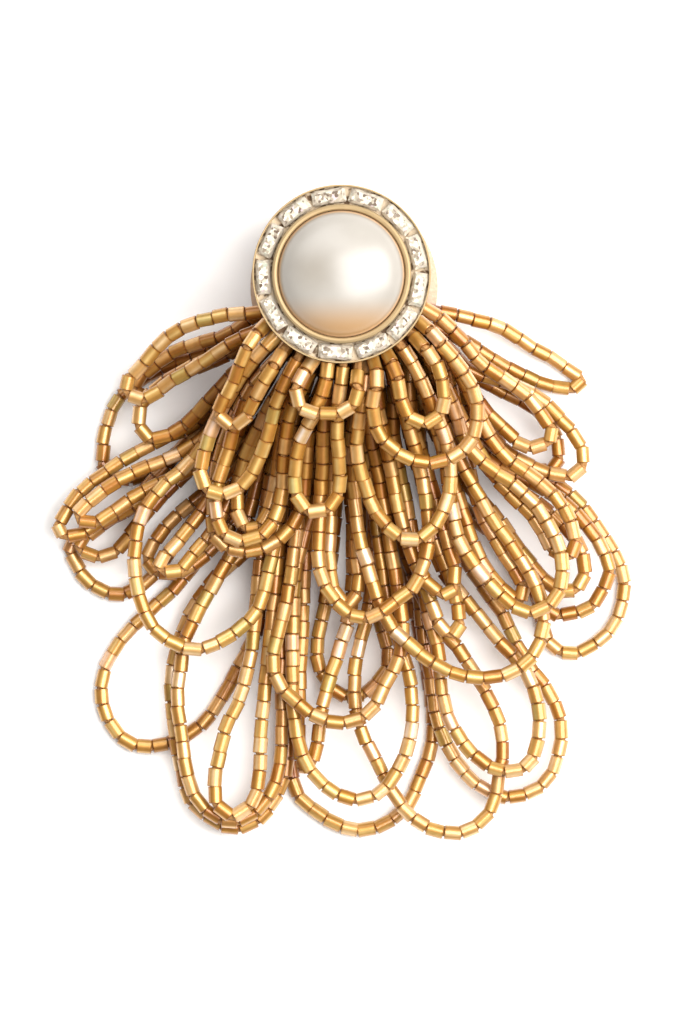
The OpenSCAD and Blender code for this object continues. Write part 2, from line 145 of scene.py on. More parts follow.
# One row for each looped strand: its layer, the slot and layer of its left root, those of its
# right root, and its route's points on the plan grid. The names are the CAD nodes' names.
LOOPS = {
    "bead_loop_01": (0, (1, 0), (2, 0), [
        (134, 350), (121, 355), (107, 360), (96, 366), (87, 374), (82, 385), (80, 397),
        (81, 406), (89, 410), (99, 408), (110, 401), (122, 390), (135, 374),
    ]),
    "bead_loop_02": (0, (3, 0), (4, 0), [
        (132, 394), (109, 413), (86, 427), (72, 434), (65, 441), (68, 449), (73, 456), (80, 461),
        (89, 462), (98, 458), (108, 446), (124, 425), (144, 398),
    ]),
    "bead_loop_03": (0, (5, 0), (6, 0), [
        (146, 412), (131, 434), (112, 460), (100, 471), (90, 481), (82, 493), (79, 506),
        (83, 520), (91, 529), (103, 531), (116, 527), (127, 519), (135, 507), (142, 494),
        (149, 480), (154, 460), (160, 425), (169, 392),
    ]),
    "bead_loop_04": (0, (7, 0), (9, 0), [
        (181, 392), (172, 440), (164, 485), (163, 520), (165, 540), (168, 553), (177, 561),
        (187, 567), (197, 569), (208, 566), (217, 559), (223, 547), (228, 533), (229, 515),
        (227, 498), (222, 475), (218, 450), (211, 410),
    ]),
    "bead_loop_05": (0, (11, 0), (12, 0), [
        (238, 405), (244, 424), (253, 432), (263, 442), (271, 453), (277, 465), (279, 476),
        (283, 485), (292, 489), (302, 485), (310, 478), (315, 467), (316, 455), (311, 443),
        (304, 432), (296, 421), (286, 413), (274, 407), (262, 402), (251, 393), (240, 377),
    ]),
    "bead_loop_06": (0, (14, 0), (13, 0), [
        (240, 336), (252, 339), (263, 343), (273, 350), (283, 355), (291, 361), (297, 366),
        (292, 369), (283, 368), (272, 364), (260, 358), (249, 351), (238, 345),
    ]),
    "bead_loop_07": (1, (0, 1), (1, 1), [
        (136, 345), (122, 349), (110, 354), (102, 360), (95, 367), (98, 373), (108, 367),
        (122, 360), (137, 354),
    ]),
    "bead_loop_08": (1, (2, 1), (3, 1), [
        (132, 379), (112, 400), (92, 422), (76, 434), (69, 440), (74, 444), (81, 445), (88, 441),
        (94, 433), (105, 420), (120, 405), (140, 385),
    ]),
    "bead_loop_09": (1, (4, 1), (5, 1), [
        (147, 396), (124, 418), (110, 430), (104, 438), (100, 446), (105, 452), (112, 453),
        (121, 449), (130, 441), (141, 428), (157, 403),
    ]),
    "bead_loop_10": (1, (6, 1), (7, 1), [
        (170, 403), (148, 440), (131, 455), (121, 468), (115, 482), (111, 497), (111, 512),
        (113, 528), (116, 543), (120, 556), (129, 564), (139, 568), (149, 565), (157, 556),
        (162, 545), (164, 522), (165, 480), (174, 430), (181, 400),
    ]),
    "bead_loop_11": (1, (8, 1), (9, 1), [
        (188, 400), (184, 440), (180, 470), (177, 490), (181, 501), (189, 508), (197, 508),
        (204, 502), (209, 494), (208, 484), (205, 474), (202, 450), (200, 400),
    ]),
    "bead_loop_12": (1, (10, 1), (11, 1), [
        (212, 400), (220, 440), (225, 480), (229, 505), (231, 518), (236, 531), (243, 542),
        (252, 550), (264, 554), (275, 551), (283, 543), (287, 530), (286, 516), (281, 505),
        (274, 496), (267, 484), (262, 473), (253, 460), (240, 440), (227, 410),
    ]),
    "bead_loop_13": (1, (13, 1), (12, 1), [
        (245, 362), (262, 371), (275, 378), (283, 386), (286, 396), (284, 405), (276, 406),
        (266, 400), (255, 391), (242, 380),
    ]),
    "bead_loop_14": (2, (2, 2), (3, 2), [
        (137, 370), (120, 386), (105, 393), (92, 400), (80, 408), (70, 416), (63, 426),
        (60, 433), (66, 436), (77, 431), (89, 425), (101, 417), (113, 408), (126, 398),
        (144, 382),
    ]),
    "bead_loop_15": (2, (4, 2), (5, 2), [
        (153, 400), (143, 435), (133, 453), (125, 467), (118, 481), (115, 497), (114, 512),
        (116, 526), (118, 542), (122, 554), (130, 562), (139, 565), (148, 561), (156, 552),
        (160, 540), (161, 522), (161, 500), (161, 470), (162, 430),
    ]),
    "bead_loop_16": (2, (6, 2), (7, 2), [
        (173, 430), (170, 480), (169, 510), (169, 530), (172, 541), (176, 534), (178, 520),
        (182, 503), (187, 487), (191, 474), (193, 440), (191, 400),
    ]),
    "bead_loop_17": (2, (8, 2), (9, 2), [
        (200, 400), (202, 420), (202, 450), (199, 474), (196, 485), (194, 497), (194, 510),
        (197, 524), (204, 538), (212, 553), (221, 564), (231, 569), (241, 570), (250, 566),
        (257, 556), (259, 545), (261, 532), (259, 519), (254, 508), (248, 498), (240, 486),
        (231, 476), (224, 462), (216, 440), (208, 400),
    ]),
    "bead_loop_18": (2, (10, 2), (11, 2), [
        (238, 400), (254, 425), (268, 448), (278, 465), (284, 471), (292, 471), (300, 468),
        (306, 460), (309, 451), (305, 440), (297, 429), (288, 420), (276, 413), (263, 407),
        (249, 398), (237, 383),
    ]),
    "bead_loop_19": (2, (13, 2), (12, 2), [
        (238, 353), (247, 362), (258, 365), (269, 369), (279, 375), (288, 384), (295, 393),
        (297, 402), (293, 408), (284, 408), (273, 404), (262, 397), (253, 386), (243, 372),
    ]),
    "bead_loop_20": (3, (1, 3), (2, 3), [
        (136, 352), (120, 360), (106, 368), (98, 376), (97, 385), (100, 391), (108, 391),
        (117, 386), (126, 377), (136, 366),
    ]),
    "bead_loop_21": (3, (3, 3), (4, 3), [
        (138, 381), (116, 398), (97, 406), (84, 413), (75, 420), (69, 427), (75, 430), (83, 426),
        (96, 417), (117, 407), (144, 392),
    ]),
    "bead_loop_22": (3, (5, 3), (6, 3), [
        (158, 400), (153, 430), (150, 460), (146, 495), (141, 512), (136, 522), (133, 534),
        (131, 547), (132, 557), (138, 562), (145, 559), (150, 550), (151, 538), (152, 520),
        (154, 500), (157, 470), (161, 430), (170, 395),
    ]),
    "bead_loop_23": (3, (7, 3), (8, 3), [
        (183, 390), (179, 410), (173, 430), (168, 447), (166, 470), (166, 492), (166, 512),
        (169, 530), (175, 543), (184, 551), (195, 555), (206, 551), (213, 542), (218, 530),
        (220, 515), (218, 497), (214, 484), (209, 465), (205, 440), (200, 400),
    ]),
    "bead_loop_24": (3, (9, 3), (10, 3), [
        (206, 375), (212, 400), (220, 440), (227, 470), (232, 490), (233, 505), (236, 517),
        (242, 528), (249, 536), (257, 541), (266, 542), (273, 538), (276, 530), (277, 515),
        (274, 503), (268, 493), (260, 484), (251, 473), (241, 461), (233, 450), (228, 425),
        (220, 395), (214, 371),
    ]),
    "bead_loop_25": (3, (11, 3), (12, 3), [
        (222, 370), (236, 400), (260, 430), (275, 450), (284, 459), (291, 461), (297, 455),
        (297, 446), (284, 427), (272, 418), (257, 408), (242, 388), (230, 367),
    ]),
    "bead_loop_26": (3, (14, 3), (13, 3), [
        (240, 345), (252, 359), (263, 366), (272, 373), (279, 382), (283, 390), (278, 395),
        (270, 395), (262, 388), (254, 380), (242, 365), (231, 351),
    ]),
    "bead_loop_27": (4, (0, 4), (1, 4), [
        (139, 336), (129, 338), (119, 341), (110, 346), (103, 353), (97, 360), (91, 368),
        (94, 373), (101, 373), (110, 367), (120, 361), (131, 354), (140, 348),
    ]),
    "bead_loop_28": (4, (2, 4), (5, 4), [
        (135, 378), (120, 402), (106, 415), (98, 427), (95, 441), (95, 455), (98, 467),
        (105, 479), (114, 485), (124, 487), (134, 483), (144, 476), (151, 467), (154, 457),
        (157, 443), (160, 425), (163, 400),
    ]),
    "bead_loop_29": (4, (3, 4), (4, 4), [
        (143, 385), (135, 405), (125, 425), (113, 440), (106, 450), (112, 452), (122, 443),
        (132, 430), (142, 410), (151, 390),
    ]),
    "bead_loop_30": (4, (6, 4), (9, 4), [
        (170, 400), (167, 440), (163, 466), (159, 482), (157, 494), (161, 504), (168, 511),
        (176, 517), (185, 520), (194, 519), (202, 514), (207, 504), (212, 495), (215, 485),
        (214, 465), (210, 440), (205, 410), (200, 380),
    ]),
    "bead_loop_31": (4, (12, 4), (13, 4), [
        (235, 400), (245, 432), (249, 443), (254, 452), (261, 460), (269, 464), (269, 457),
        (263, 447), (259, 440), (253, 430), (244, 400),
    ]),
    "bead_loop_32": (5, (8, 5), (11, 5), [
        (193, 390), (194, 420), (196, 436), (200, 450), (204, 463), (210, 476), (219, 485),
        (229, 493), (240, 498), (251, 500), (262, 498), (271, 493), (277, 484), (279, 473),
        (276, 460), (268, 445), (256, 428), (243, 405), (232, 380),
    ]),
    "bead_loop_33": (5, (3, 5), (6, 5), [
        (144, 375), (133, 400), (130, 425), (132, 437), (140, 442), (150, 442), (159, 438),
        (166, 431), (170, 421), (172, 405), (174, 385),
    ]),
    "bead_loop_34": (5, (4, 5), (5, 5), [
        (152, 385), (143, 405), (141, 418), (142, 428), (147, 433), (153, 428), (157, 417),
        (160, 400), (164, 378),
    ]),
    "bead_loop_35": (6, (6, 6), (10, 6), [
        (180, 390), (179, 415), (178, 432), (178, 447), (180, 457), (186, 466), (193, 472),
        (202, 472), (211, 466), (220, 459), (225, 449), (227, 437), (226, 420), (222, 400),
        (216, 380),
    ]),
    "bead_loop_36": (6, (3, 6), (5, 6), [
        (145, 375), (136, 400), (132, 415), (132, 427), (136, 435), (144, 438), (152, 435),
        (158, 428), (161, 417), (162, 402), (164, 385),
    ]),
    "bead_loop_37": (6, (11, 6), (12, 6), [
        (234, 400), (238, 425), (242, 440), (249, 450), (257, 460), (265, 467), (274, 470),
        (282, 466), (287, 457), (287, 446), (283, 434), (276, 423), (267, 414), (256, 406),
        (246, 397), (237, 375),
    ]),
    "bead_loop_38": (7, (6, 7), (7, 7), [
        (178, 376), (174, 384), (170, 392), (168, 401), (167, 411), (169, 420), (176, 425),
        (183, 422), (187, 414), (187, 403), (186, 390), (187, 375),
    ]),
    "bead_loop_39": (7, (8.5, 6), (11, 7), [
        (198, 372), (196, 384), (195, 397), (198, 411), (202, 422), (208, 431), (214, 436),
        (222, 437), (229, 432), (235, 422), (237, 410), (236, 398), (230, 380),
    ]),
    "bead_loop_40": (7, (2, 7), (4, 7), [
        (141, 367), (134, 379), (129, 390), (126, 400), (125, 409), (130, 416), (138, 416),
        (145, 411), (151, 401), (155, 390), (158, 378),
    ]),
    "bead_loop_41": (8, (5, 7), (8, 7), [
        (169, 367), (168, 374), (173, 380), (181, 381), (189, 380), (194, 375), (195, 366),
    ]),
    "bead_loop_42": (8, (9, 7), (13, 7), [
        (204, 366), (202, 377), (204, 388), (210, 396), (218, 401), (227, 403), (236, 401),
        (244, 396), (248, 388), (249, 377), (245, 366), (237, 355),
    ]),
    "bead_loop_43": (8, (10, 7), (12, 7), [
        (213, 364), (215, 375), (219, 383), (226, 385), (232, 381), (234, 373), (232, 362),
    ]),
    "bead_loop_44": (8, (1, 7), (3, 7), [
        (145, 353), (141, 363), (137, 372), (133, 378), (136, 385), (142, 385), (148, 376),
        (154, 365),
    ]),
    "bead_loop_45": (5, (12, 5), (13, 5), [
        (243, 384), (250, 398), (257, 409), (265, 418), (273, 426), (279, 435), (284, 443),
        (290, 445), (293, 439), (291, 429), (284, 418), (275, 410), (264, 402), (255, 391),
        (249, 378),
    ]),
    "bead_loop_46": (4, (10, 4), (11, 4), [
        (212, 395), (217, 420), (221, 440), (226, 458), (230, 470), (235, 479), (239, 480),
        (241, 473), (239, 462), (235, 449), (230, 435), (225, 415), (220, 390),
    ]),
    "bead_loop_47": (4, (7, 4), (8, 4), [
        (187, 372), (184, 388), (183, 405), (183, 430), (183, 452), (186, 463), (191, 467),
        (195, 460), (195, 445), (194, 420), (193, 395), (193, 376),
    ]),
    "bead_loop_48": (5, (9, 5), (10, 5), [
        (205, 380), (209, 400), (213, 420), (217, 436), (222, 450), (229, 459), (236, 462),
        (239, 455), (236, 440), (231, 422), (226, 405), (220, 388), (213, 372),
    ]),
}


# Routes
def smooth(x):
    """Eases from 0 to 1."""
    x = min(1.0, max(0.0, x))
    return x * x * (3 - 2 * x)


def slot_point(slot):
    """Where a slot's root stands round the sewing pad, from the head's centre."""
    angle = math.radians(FIRST_SLOT_ANGLE + slot * SLOT_ANGLE)
    return Vector((-math.cos(angle), -math.sin(angle))) * ROOT_RADIUS


def heading(points, i):
    """The route's direction at a plan point. It leaves the pad straight out and comes straight in."""
    if i == 0:
        return points[0].normalized()
    if i == len(points) - 1:
        return -points[i].normalized()
    before = points[i] - points[i - 1]
    after = points[i + 1] - points[i]
    turned = before.normalized() * after.length + after.normalized() * before.length
    return turned.normalized()


def curve_point(a, b, da, db, s):
    """The point at share s of a cubic curve from a, heading da, to b, heading db."""
    reach = (b - a).length
    return (
        (2 * s**3 - 3 * s**2 + 1) * a
        + (s**3 - 2 * s**2 + s) * reach * da
        + (3 * s**2 - 2 * s**3) * b
        + (s**3 - s**2) * reach * db
    )


def strand_height(layer, radius, root_layer):
    """Height over the surface at a distance from the head's centre, as in part.scad."""
    share = smooth((radius - JOIN_START) / (JOIN_END - JOIN_START))
    here = root_layer + (layer - root_layer) * share
    rise = ROOT_RISE * (1 - smooth((radius - RISE_START) / (RISE_END - RISE_START)))
    return STRAND_RADIUS + here * LAYER_PITCH + rise


def strand_line(layer, left, right, route):
    """The strand's route in the row frame, as closely spaced points."""
    left_slot, left_layer = left
    right_slot, right_layer = right
    points = [slot_point(left_slot)]
    for column, row in route:
        points.append(Vector(((column - HEAD_COLUMN) * GRID, (HEAD_ROW - row) * GRID)))
    points.append(slot_point(right_slot))
    headings = [heading(points, i) for i in range(len(points))]
    plan = []
    for i in range(len(points) - 1):
        a = points[i]
        b = points[i + 1]
        steps = max(1, math.ceil((b - a).length / ROUTE_STEP))
        for k in range(steps):
            plan.append(curve_point(a, b, headings[i], headings[i + 1], k / steps))
    plan.append(points[-1])
    line = []
    for i, place in enumerate(plan):
        root_layer = left_layer if i < len(plan) / 2 else right_layer
        height = strand_height(layer, place.length, root_layer)
        line.append(Vector((place.x, place.y + HEAD_Y, height)))
    return line


class Route:
    """A line that can be asked for the point at a length along it."""

    def __init__(self, line):
        self.line = line
        self.lengths = [0.0]
        for a, b in zip(line, line[1:]):
            self.lengths.append(self.lengths[-1] + (b - a).length)
        self.total = self.lengths[-1]
        self.cursor = 0

    def at(self, length):
        length = min(max(length, 0.0), self.total)
        while self.cursor > 0 and self.lengths[self.cursor] > length:
            self.cursor -= 1
        while self.cursor < len(self.line) - 2 and self.lengths[self.cursor + 1] < length:
            self.cursor += 1
        i = self.cursor
        span = self.lengths[i + 1] - self.lengths[i]
        share = (length - self.lengths[i]) / span if span else 0.0
        return self.line[i].lerp(self.line[i + 1], share)


# Meshes
def ring(centre, along, radius, sides, turn=0.0):
    """Points round a centre, square to the direction along."""
    across = Vector((0, 0, 1)).cross(along).normalized()
    over = along.cross(across)
    points = []
    for j in range(sides):
        a = turn + 2 * math.pi * j / sides
        points.append(centre + radius * (math.cos(a) * over + math.sin(a) * across))
    return points


def bridge(faces, start, sides, rings):
    """Quads between rings of points that follow each other in the point list."""
    for i in range(rings - 1):
        for j in range(sides):
            a = start + i * sides + j
            b = start + i * sides + (j + 1) % sides
            faces.append((a, b, b + sides, a + sides))


def close_ends(faces, start, sides, rings):
    """A face over the first ring and one over the last."""
    faces.append(tuple(start + j for j in reversed(range(sides))))
    last_ring = start + sides * (rings - 1)
    faces.append(tuple(last_ring + j for j in range(sides)))


def make_object(name, points, faces, materials):
    mesh = bpy.data.meshes.new(name)
    mesh.from_pydata([tuple(p) for p in points], [], faces)
    for material in materials:
        mesh.materials.append(material)
    obj = bpy.data.objects.new(name, mesh)
    bpy.context.scene.collection.objects.link(obj)
    return obj


def smooth_by_angle(obj, degrees):
    """Smooth shading, with edges sharper than the angle kept crisp."""
    mesh = obj.data
    mesh.polygons.foreach_set("use_smooth", [True] * len(mesh.polygons))
    mesh.set_sharp_from_angle(angle=math.radians(degrees))


# Materials
# Where a noise starts to go from its darker to its paler colour, and where it is all pale
GRAIN_START = 0.3
GRAIN_END = 0.7


class Look:
    """A new material's nodes round its shader. Spaces in the names of inputs are written as _."""

    def __init__(self, name):
        self.material = bpy.data.materials.new(name)
        self.material.use_nodes = True
        self.nodes = self.material.node_tree.nodes
        self.shader = self.nodes["Principled BSDF"]
        self.position = self.nodes.new("ShaderNodeTexCoord").outputs["Object"]

    def feed(self, socket, source):
        """Links the socket to another one, or sets it to a constant."""
        if isinstance(source, bpy.types.NodeSocket):
            self.material.node_tree.links.new(source, socket)
        else:
            socket.default_value = source

    def fill(self, node, inputs):
        for name, source in inputs.items():
            self.feed(node.inputs[name.replace("_", " ")], source)

    def surface(self, **inputs):
        self.fill(self.shader, inputs)

    def node(self, kind, **inputs):
        node = self.nodes.new(kind)
        self.fill(node, inputs)
        return node

    def ramp(self, value, stops, interpolation="LINEAR"):
        """The colour for a value from 0 to 1, by stops that are each a position and a colour."""
        node = self.node("ShaderNodeValToRGB", Fac=value)
        node.color_ramp.interpolation = interpolation
        elements = node.color_ramp.elements
        while len(elements) < len(stops):
            elements.new(0.5)
        for element, (position, color) in zip(elements, stops):
            element.position = position
            element.color = (*color, 1)
        return node.outputs["Color"]

    def grain(self, scale, detail, dark, pale):
        """A noise with so many spots in a metre, and the colour that it gives."""
        node = self.node("ShaderNodeTexNoise", Vector=self.position, Scale=scale, Detail=detail)
        noise = node.outputs["Fac"]
        return noise, self.ramp(noise, [(GRAIN_START, dark), (GRAIN_END, pale)])

    def mix(self, share, first, second, blend="MIX"):
        node = self.nodes.new("ShaderNodeMix")
        node.data_type = "RGBA"
        node.blend_type = blend
        self.fill(node, {"Factor": share, "A": first, "B": second})
        return node.outputs["Result"]

    def ease(self, value, start, end):
        """0 up to the start, 1 from the end on."""
        node = self.node("ShaderNodeMapRange", Value=value, From_Min=start, From_Max=end)
        node.interpolation_type = "SMOOTHSTEP"
        return node.outputs["Result"]

    def operate(self, kind, operation, *sources, **inputs):
        node = self.nodes.new(kind)
        node.operation = operation
        for socket, source in zip(node.inputs, sources):
            self.feed(socket, source)
        self.fill(node, inputs)
        return node

    def number(self, operation, *sources):
        return self.operate("ShaderNodeMath", operation, *sources).outputs["Value"]

    def vector(self, operation, *sources, **inputs):
        node = self.operate("ShaderNodeVectorMath", operation, *sources, **inputs)
        return node.outputs["Vector"]

    def distance(self, place, target):
        node = self.operate("ShaderNodeVectorMath", "DISTANCE", place, target)
        return node.outputs["Value"]

    def from_head_axis(self):
        """Distance from the upright line through the head's middle."""
        flat = self.vector("MULTIPLY", self.position, (1, 1, 0))
        return self.distance(flat, (0, HEAD_Y, 0))

    def part_of(self, vector, axis):
        return self.node("ShaderNodeSeparateXYZ", Vector=vector).outputs[axis]

    def bump(self, height, strength, depth):
        node = self.node("ShaderNodeBump", Strength=strength, Distance=depth, Height=height)
        self.surface(Normal=node.outputs["Normal"])


def bead_material():
    """Gold-lined glass: a warm metal core colour under a clear, glossy coat."""
    look = Look("gold_lined_glass")
    tint = look.node("ShaderNodeAttribute")
    tint.attribute_name = BEAD_TINT_LAYER
    noise, cloud_and_grey_reflection = look.grain(scale=900, detail=2, dark=(0.72, 0.66, 0.58), pale=(1, 1, 1))
    look.surface(
        Base_Color=look.mix(GLASS_CLOUD_SHARE, tint.outputs["Color"], cloud_and_grey_reflection, "MULTIPLY"),
        Metallic=0.5,
        Roughness=0.40,
        Coat_Weight=0.7,
        Coat_Roughness=0.13,
        Coat_IOR=1.5,
    )
    look.bump(noise, strength=0.25, depth=0.00004)
    return look.material


def thread_material():
    look = Look("bead_thread")
    _, color = look.grain(scale=3000, detail=2, dark=(0.26, 0.11, 0.025), pale=(0.48, 0.25, 0.08))
    look.surface(Base_Color=color, Roughness=0.8)
    return look.material


# Painted reflection of the beads: where the pearl goes from cream to warm, down the picture
PEARL_BEAD_REFLECTION_START = HEAD_Y - 0.0022
PEARL_BEAD_REFLECTION_END = HEAD_Y - 0.0068
PEARL_BEAD_REFLECTION_COLOR = (0.43, 0.245, 0.10, 1)
# Painted grey reflection left of the pearl's middle
PEARL_GREY_REFLECTION = (-0.0034, HEAD_Y + 0.0006, 0.024)
PEARL_GREY_REFLECTION_REACH = 0.0040
PEARL_GREY_REFLECTION_COLOR = (0.78, 0.75, 0.70, 1)
# Painted reflection of the gold bezel, lighter than the shade there: the golden line round the
# pearl's foot, by distance from its axis
PEARL_EDGE = 0.00705
PEARL_EDGE_WIDTH = 0.0003
PEARL_BEZEL_REFLECTION_COLOR = (0.86, 0.56, 0.29, 1)


def pearl_material():
    """Cream nacre with painted reflections: the beads' gold low down, a grey patch, the bezel's gold
    round the foot.
    """
    look = Look("cream_pearl")
    noise, cream = look.grain(
        scale=140, detail=3, dark=(0.325, 0.298, 0.262), pale=(0.385, 0.358, 0.320)
    )
    # Painted reflection of the beads below the pearl
    bead_reflection_share = look.ease(look.part_of(look.position, "Y"), PEARL_BEAD_REFLECTION_START, PEARL_BEAD_REFLECTION_END)
    with_bead_reflection = look.mix(bead_reflection_share, cream, PEARL_BEAD_REFLECTION_COLOR)
    # Painted grey reflection
    cloud_and_grey_reflection = look.ease(look.distance(look.position, PEARL_GREY_REFLECTION), PEARL_GREY_REFLECTION_REACH, 0)
    with_grey_reflection = look.mix(cloud_and_grey_reflection, with_bead_reflection, PEARL_GREY_REFLECTION_COLOR, "MULTIPLY")
    # Painted reflection of the bezel, over the shade at the pearl's foot
    bezel_reflection_share = look.ease(look.from_head_axis(), PEARL_EDGE - PEARL_EDGE_WIDTH, PEARL_EDGE)
    look.surface(
        Base_Color=look.mix(bezel_reflection_share, with_grey_reflection, PEARL_BEZEL_REFLECTION_COLOR),
        Roughness=0.38,
        IOR=1.6,
        Coat_Weight=0.5,
        Coat_Roughness=0.27,
        Sheen_Weight=0.1,
        Sheen_Tint=(0.95, 0.86, 0.80, 1),
    )
    look.bump(noise, strength=0.06, depth=0.0001)
    return look.material


# Painted shade down the setting's channel: heights between which it goes from bright to dark,
# and the channel's radius
CHANNEL_LIGHT = 0.0192
CHANNEL_DARK = 0.0182
CHANNEL_RADIUS = 0.0099
# Specks of painted shade and light in the channel, dark and pale: position on their noise, and colour
CHANNEL_SHADE_STOPS = [(0.40, (0.14, 0.08, 0.04)), (0.48, (0.66, 0.53, 0.37))]


def paint_channel_shade(look, gold):
    """Painted shade and light as dark and pale specks down in the channel that holds the stones, and
    the gold elsewhere.
    """
    depth = look.ease(look.part_of(look.position, "Z"), CHANNEL_LIGHT, CHANNEL_DARK)
    inside = look.number("LESS_THAN", look.from_head_axis(), CHANNEL_RADIUS)
    noise = look.node("ShaderNodeTexNoise", Vector=look.position, Scale=1100, Detail=2)
    shade_specks = look.ramp(noise.outputs["Fac"], CHANNEL_SHADE_STOPS)
    return look.mix(look.number("MULTIPLY", depth, inside), gold, shade_specks)


def gold_material(name, channel_shade):
    """Satin gold, with or without the painted shade and light of the setting's channel."""
    look = Look(name)
    noise, color = look.grain(
        scale=600, detail=3, dark=(0.35, 0.248, 0.122), pale=(0.395, 0.28, 0.143)
    )
    rough = look.node("ShaderNodeMapRange", Value=noise, To_Min=0.46, To_Max=0.60)
    if channel_shade:
        # Painted shade and light down in the channel
        color = paint_channel_shade(look, color)
    look.surface(Base_Color=color, Metallic=0.45, Roughness=rough.outputs["Result"])
    look.bump(noise, strength=0.06, depth=0.00005)
    return look.material


# Painted reflections of inner facets, as patches: where each colour starts, of all the patches, and
# the colour
FACET_REFLECTION_STOPS = [
    (0.0, (0.13, 0.08, 0.045)),
    (0.10, (0.24, 0.18, 0.12)),
    (0.24, (0.34, 0.29, 0.21)),
    (0.44, (0.44, 0.38, 0.29)),
    (0.64, (0.31, 0.33, 0.25)),
    (0.76, (0.50, 0.45, 0.36)),
    (0.92, (0.37, 0.28, 0.28)),
]
# How many patches fit in a metre, and how far they lean
FACET_SCALE = 3200
FACET_LEAN = 0.45
FACET_MIDDLE = (0.5, 0.5, 0.5)
# Painted light: a stone's sloping faces are paler than its table
SLOPE_LIGHT_COLOR = (0.86, 0.78, 0.66, 1)


def crystal_material():
    """Foiled crystal: painted facet reflections as patches, white to grey, a few dark or tinted, and
    painted light on slopes.
    """
    look = Look("foiled_crystal")
    cells = look.node("ShaderNodeTexVoronoi", Vector=look.position, Scale=FACET_SCALE)
    patch = cells.outputs["Color"]
    chance = look.node("ShaderNodeSeparateColor", Color=patch).outputs["Red"]
    # Painted reflections of inner facets
    color = look.ramp(chance, FACET_REFLECTION_STOPS, "CONSTANT")
    normal = look.node("ShaderNodeNewGeometry").outputs["Normal"]
    # Painted light on the sloping faces
    slope_light_share = look.node(
        "ShaderNodeMapRange",
        Value=look.part_of(normal, "Z"),
        From_Min=0.97,
        From_Max=0.6,
        To_Max=0.68,
    )
    lean = look.vector("SCALE", look.vector("SUBTRACT", patch, FACET_MIDDLE), Scale=FACET_LEAN)
    look.surface(
        Base_Color=look.mix(slope_light_share.outputs["Result"], color, SLOPE_LIGHT_COLOR),
        Metallic=0.2,
        Roughness=0.34,
        Coat_Weight=0.3,
        Coat_Roughness=0.1,
        Coat_IOR=1.55,
        Normal=look.vector("NORMALIZE", look.vector("ADD", normal, lean)),
    )
    return look.material


def suede_material():
    look = Look("beige_suede")
    noise, color = look.grain(
        scale=2600, detail=4, dark=(0.49, 0.345, 0.245), pale=(0.62, 0.465, 0.345)
    )
    look.surface(Base_Color=color, Roughness=0.9, Sheen_Weight=0.4, Sheen_Roughness=0.5)
    look.bump(noise, strength=0.6, depth=0.0001)
    return look.material


# The strands
class PaintedCoverShade:
    """Points along every strand, to tell how much runs over a bead, for the painted shade under them.
    """

    def __init__(self, routes):
        self.heights = []
        flat = []
        for route in routes:
            for i in range(int(route.total / COVER_STEP)):
                place = route.at(i * COVER_STEP)
                flat.append(Vector((place.x, place.y, 0)))
                self.heights.append(place.z)
        self.tree = KDTree(len(flat))
        for i, place in enumerate(flat):
            self.tree.insert(place, i)
        self.tree.balance()

    def shade(self, place):
        """Painted shade: 1 for a bead in the open, down to the darkest tone for one under many
        strands.
        """
        total = 0.0
        for _, i, distance in self.tree.find_range(Vector((place.x, place.y, 0)), COVER_REACH):
            if self.heights[i] > place.z + COVER_RISE:
                total += 1 - distance / COVER_REACH
        return 1 - (1 - COVER_PAINTED_SHADE) * min(1.0, total / COVER_FULL)


def bead_stops(route, rng):
    """Where each bead starts and ends along the route. Beads spread where the strand bends."""
    stops = []
    place = BEAD_GAP
    while place + BEAD_LENGTH * LAST_BEAD_SHARE < route.total:
        length = BEAD_LENGTH * rng.uniform(*LENGTH_SPREAD)
        begin = place
        end = min(place + length, route.total)
        here = (route.at(end) - route.at(begin)).normalized()
        ahead = (route.at(end + length) - route.at(end)).normalized()
        turn = here.angle(ahead, 0.0)
        stops.append((begin, end))
        place = end + BEAD_GAP + BEND_GAP_SHARE * BEAD_RADIUS * math.tan(turn / 2)
    return stops


def wander(rng):
    """A small step aside, never downwards, so that no bead dips into the floor."""
    return Vector((rng.uniform(-1, 1), rng.uniform(-1, 1), rng.uniform(0, 1))) * BEAD_WANDER


def add_bead(points, faces, shades, begin, end, radius, turn):
    """A short cylinder with a hole's mouth at each end, darker there in part as painted shade, and
    paler bands along it.
    """
    along = (end - begin).normalized()
    # Half of the bead's profile: distance from the bead's end in chamfers, radius and shade
    half = [
        (HOLE_DEPTH, HOLE_RADIUS, END_SHADE),
        (0, HOLE_RADIUS * HOLE_FLARE, END_SHADE),
        (0, radius - BEAD_CHAMFER, END_SHADE),
        (1, radius, RIM_SHADE),
        (RIM_REACH, radius, 1.0),
    ]
    profile = [(begin + along * BEAD_CHAMFER * depth, r, shade) for depth, r, shade in half]
    for depth, r, shade in reversed(half):
        profile.append((end - along * BEAD_CHAMFER * depth, r, shade))
    start = len(points)
    for centre, r, shade in profile:
        points.extend(ring(centre, along, r, BEAD_SIDES, turn))
        for j in range(BEAD_SIDES):
            # Pale bands round the bead: the lining, partly painted highlight streaks
            wave = 0.5 + 0.5 * math.cos(BANDS * 2 * math.pi * j / BEAD_SIDES)
            shades.append(shade * (BAND_LOW + (BAND_HIGH - BAND_LOW) * wave**2))
    bridge(faces, start, BEAD_SIDES, len(profile))


def add_thread(points, faces, stops):
    start = len(points)
    for i, place in enumerate(stops):
        along = (stops[min(i + 1, len(stops) - 1)] - stops[max(i - 1, 0)]).normalized()
        points.extend(ring(place, along, THREAD_RADIUS, THREAD_SIDES))
    bridge(faces, start, THREAD_SIDES, len(stops))
    close_ends(faces, start, THREAD_SIDES, len(stops))


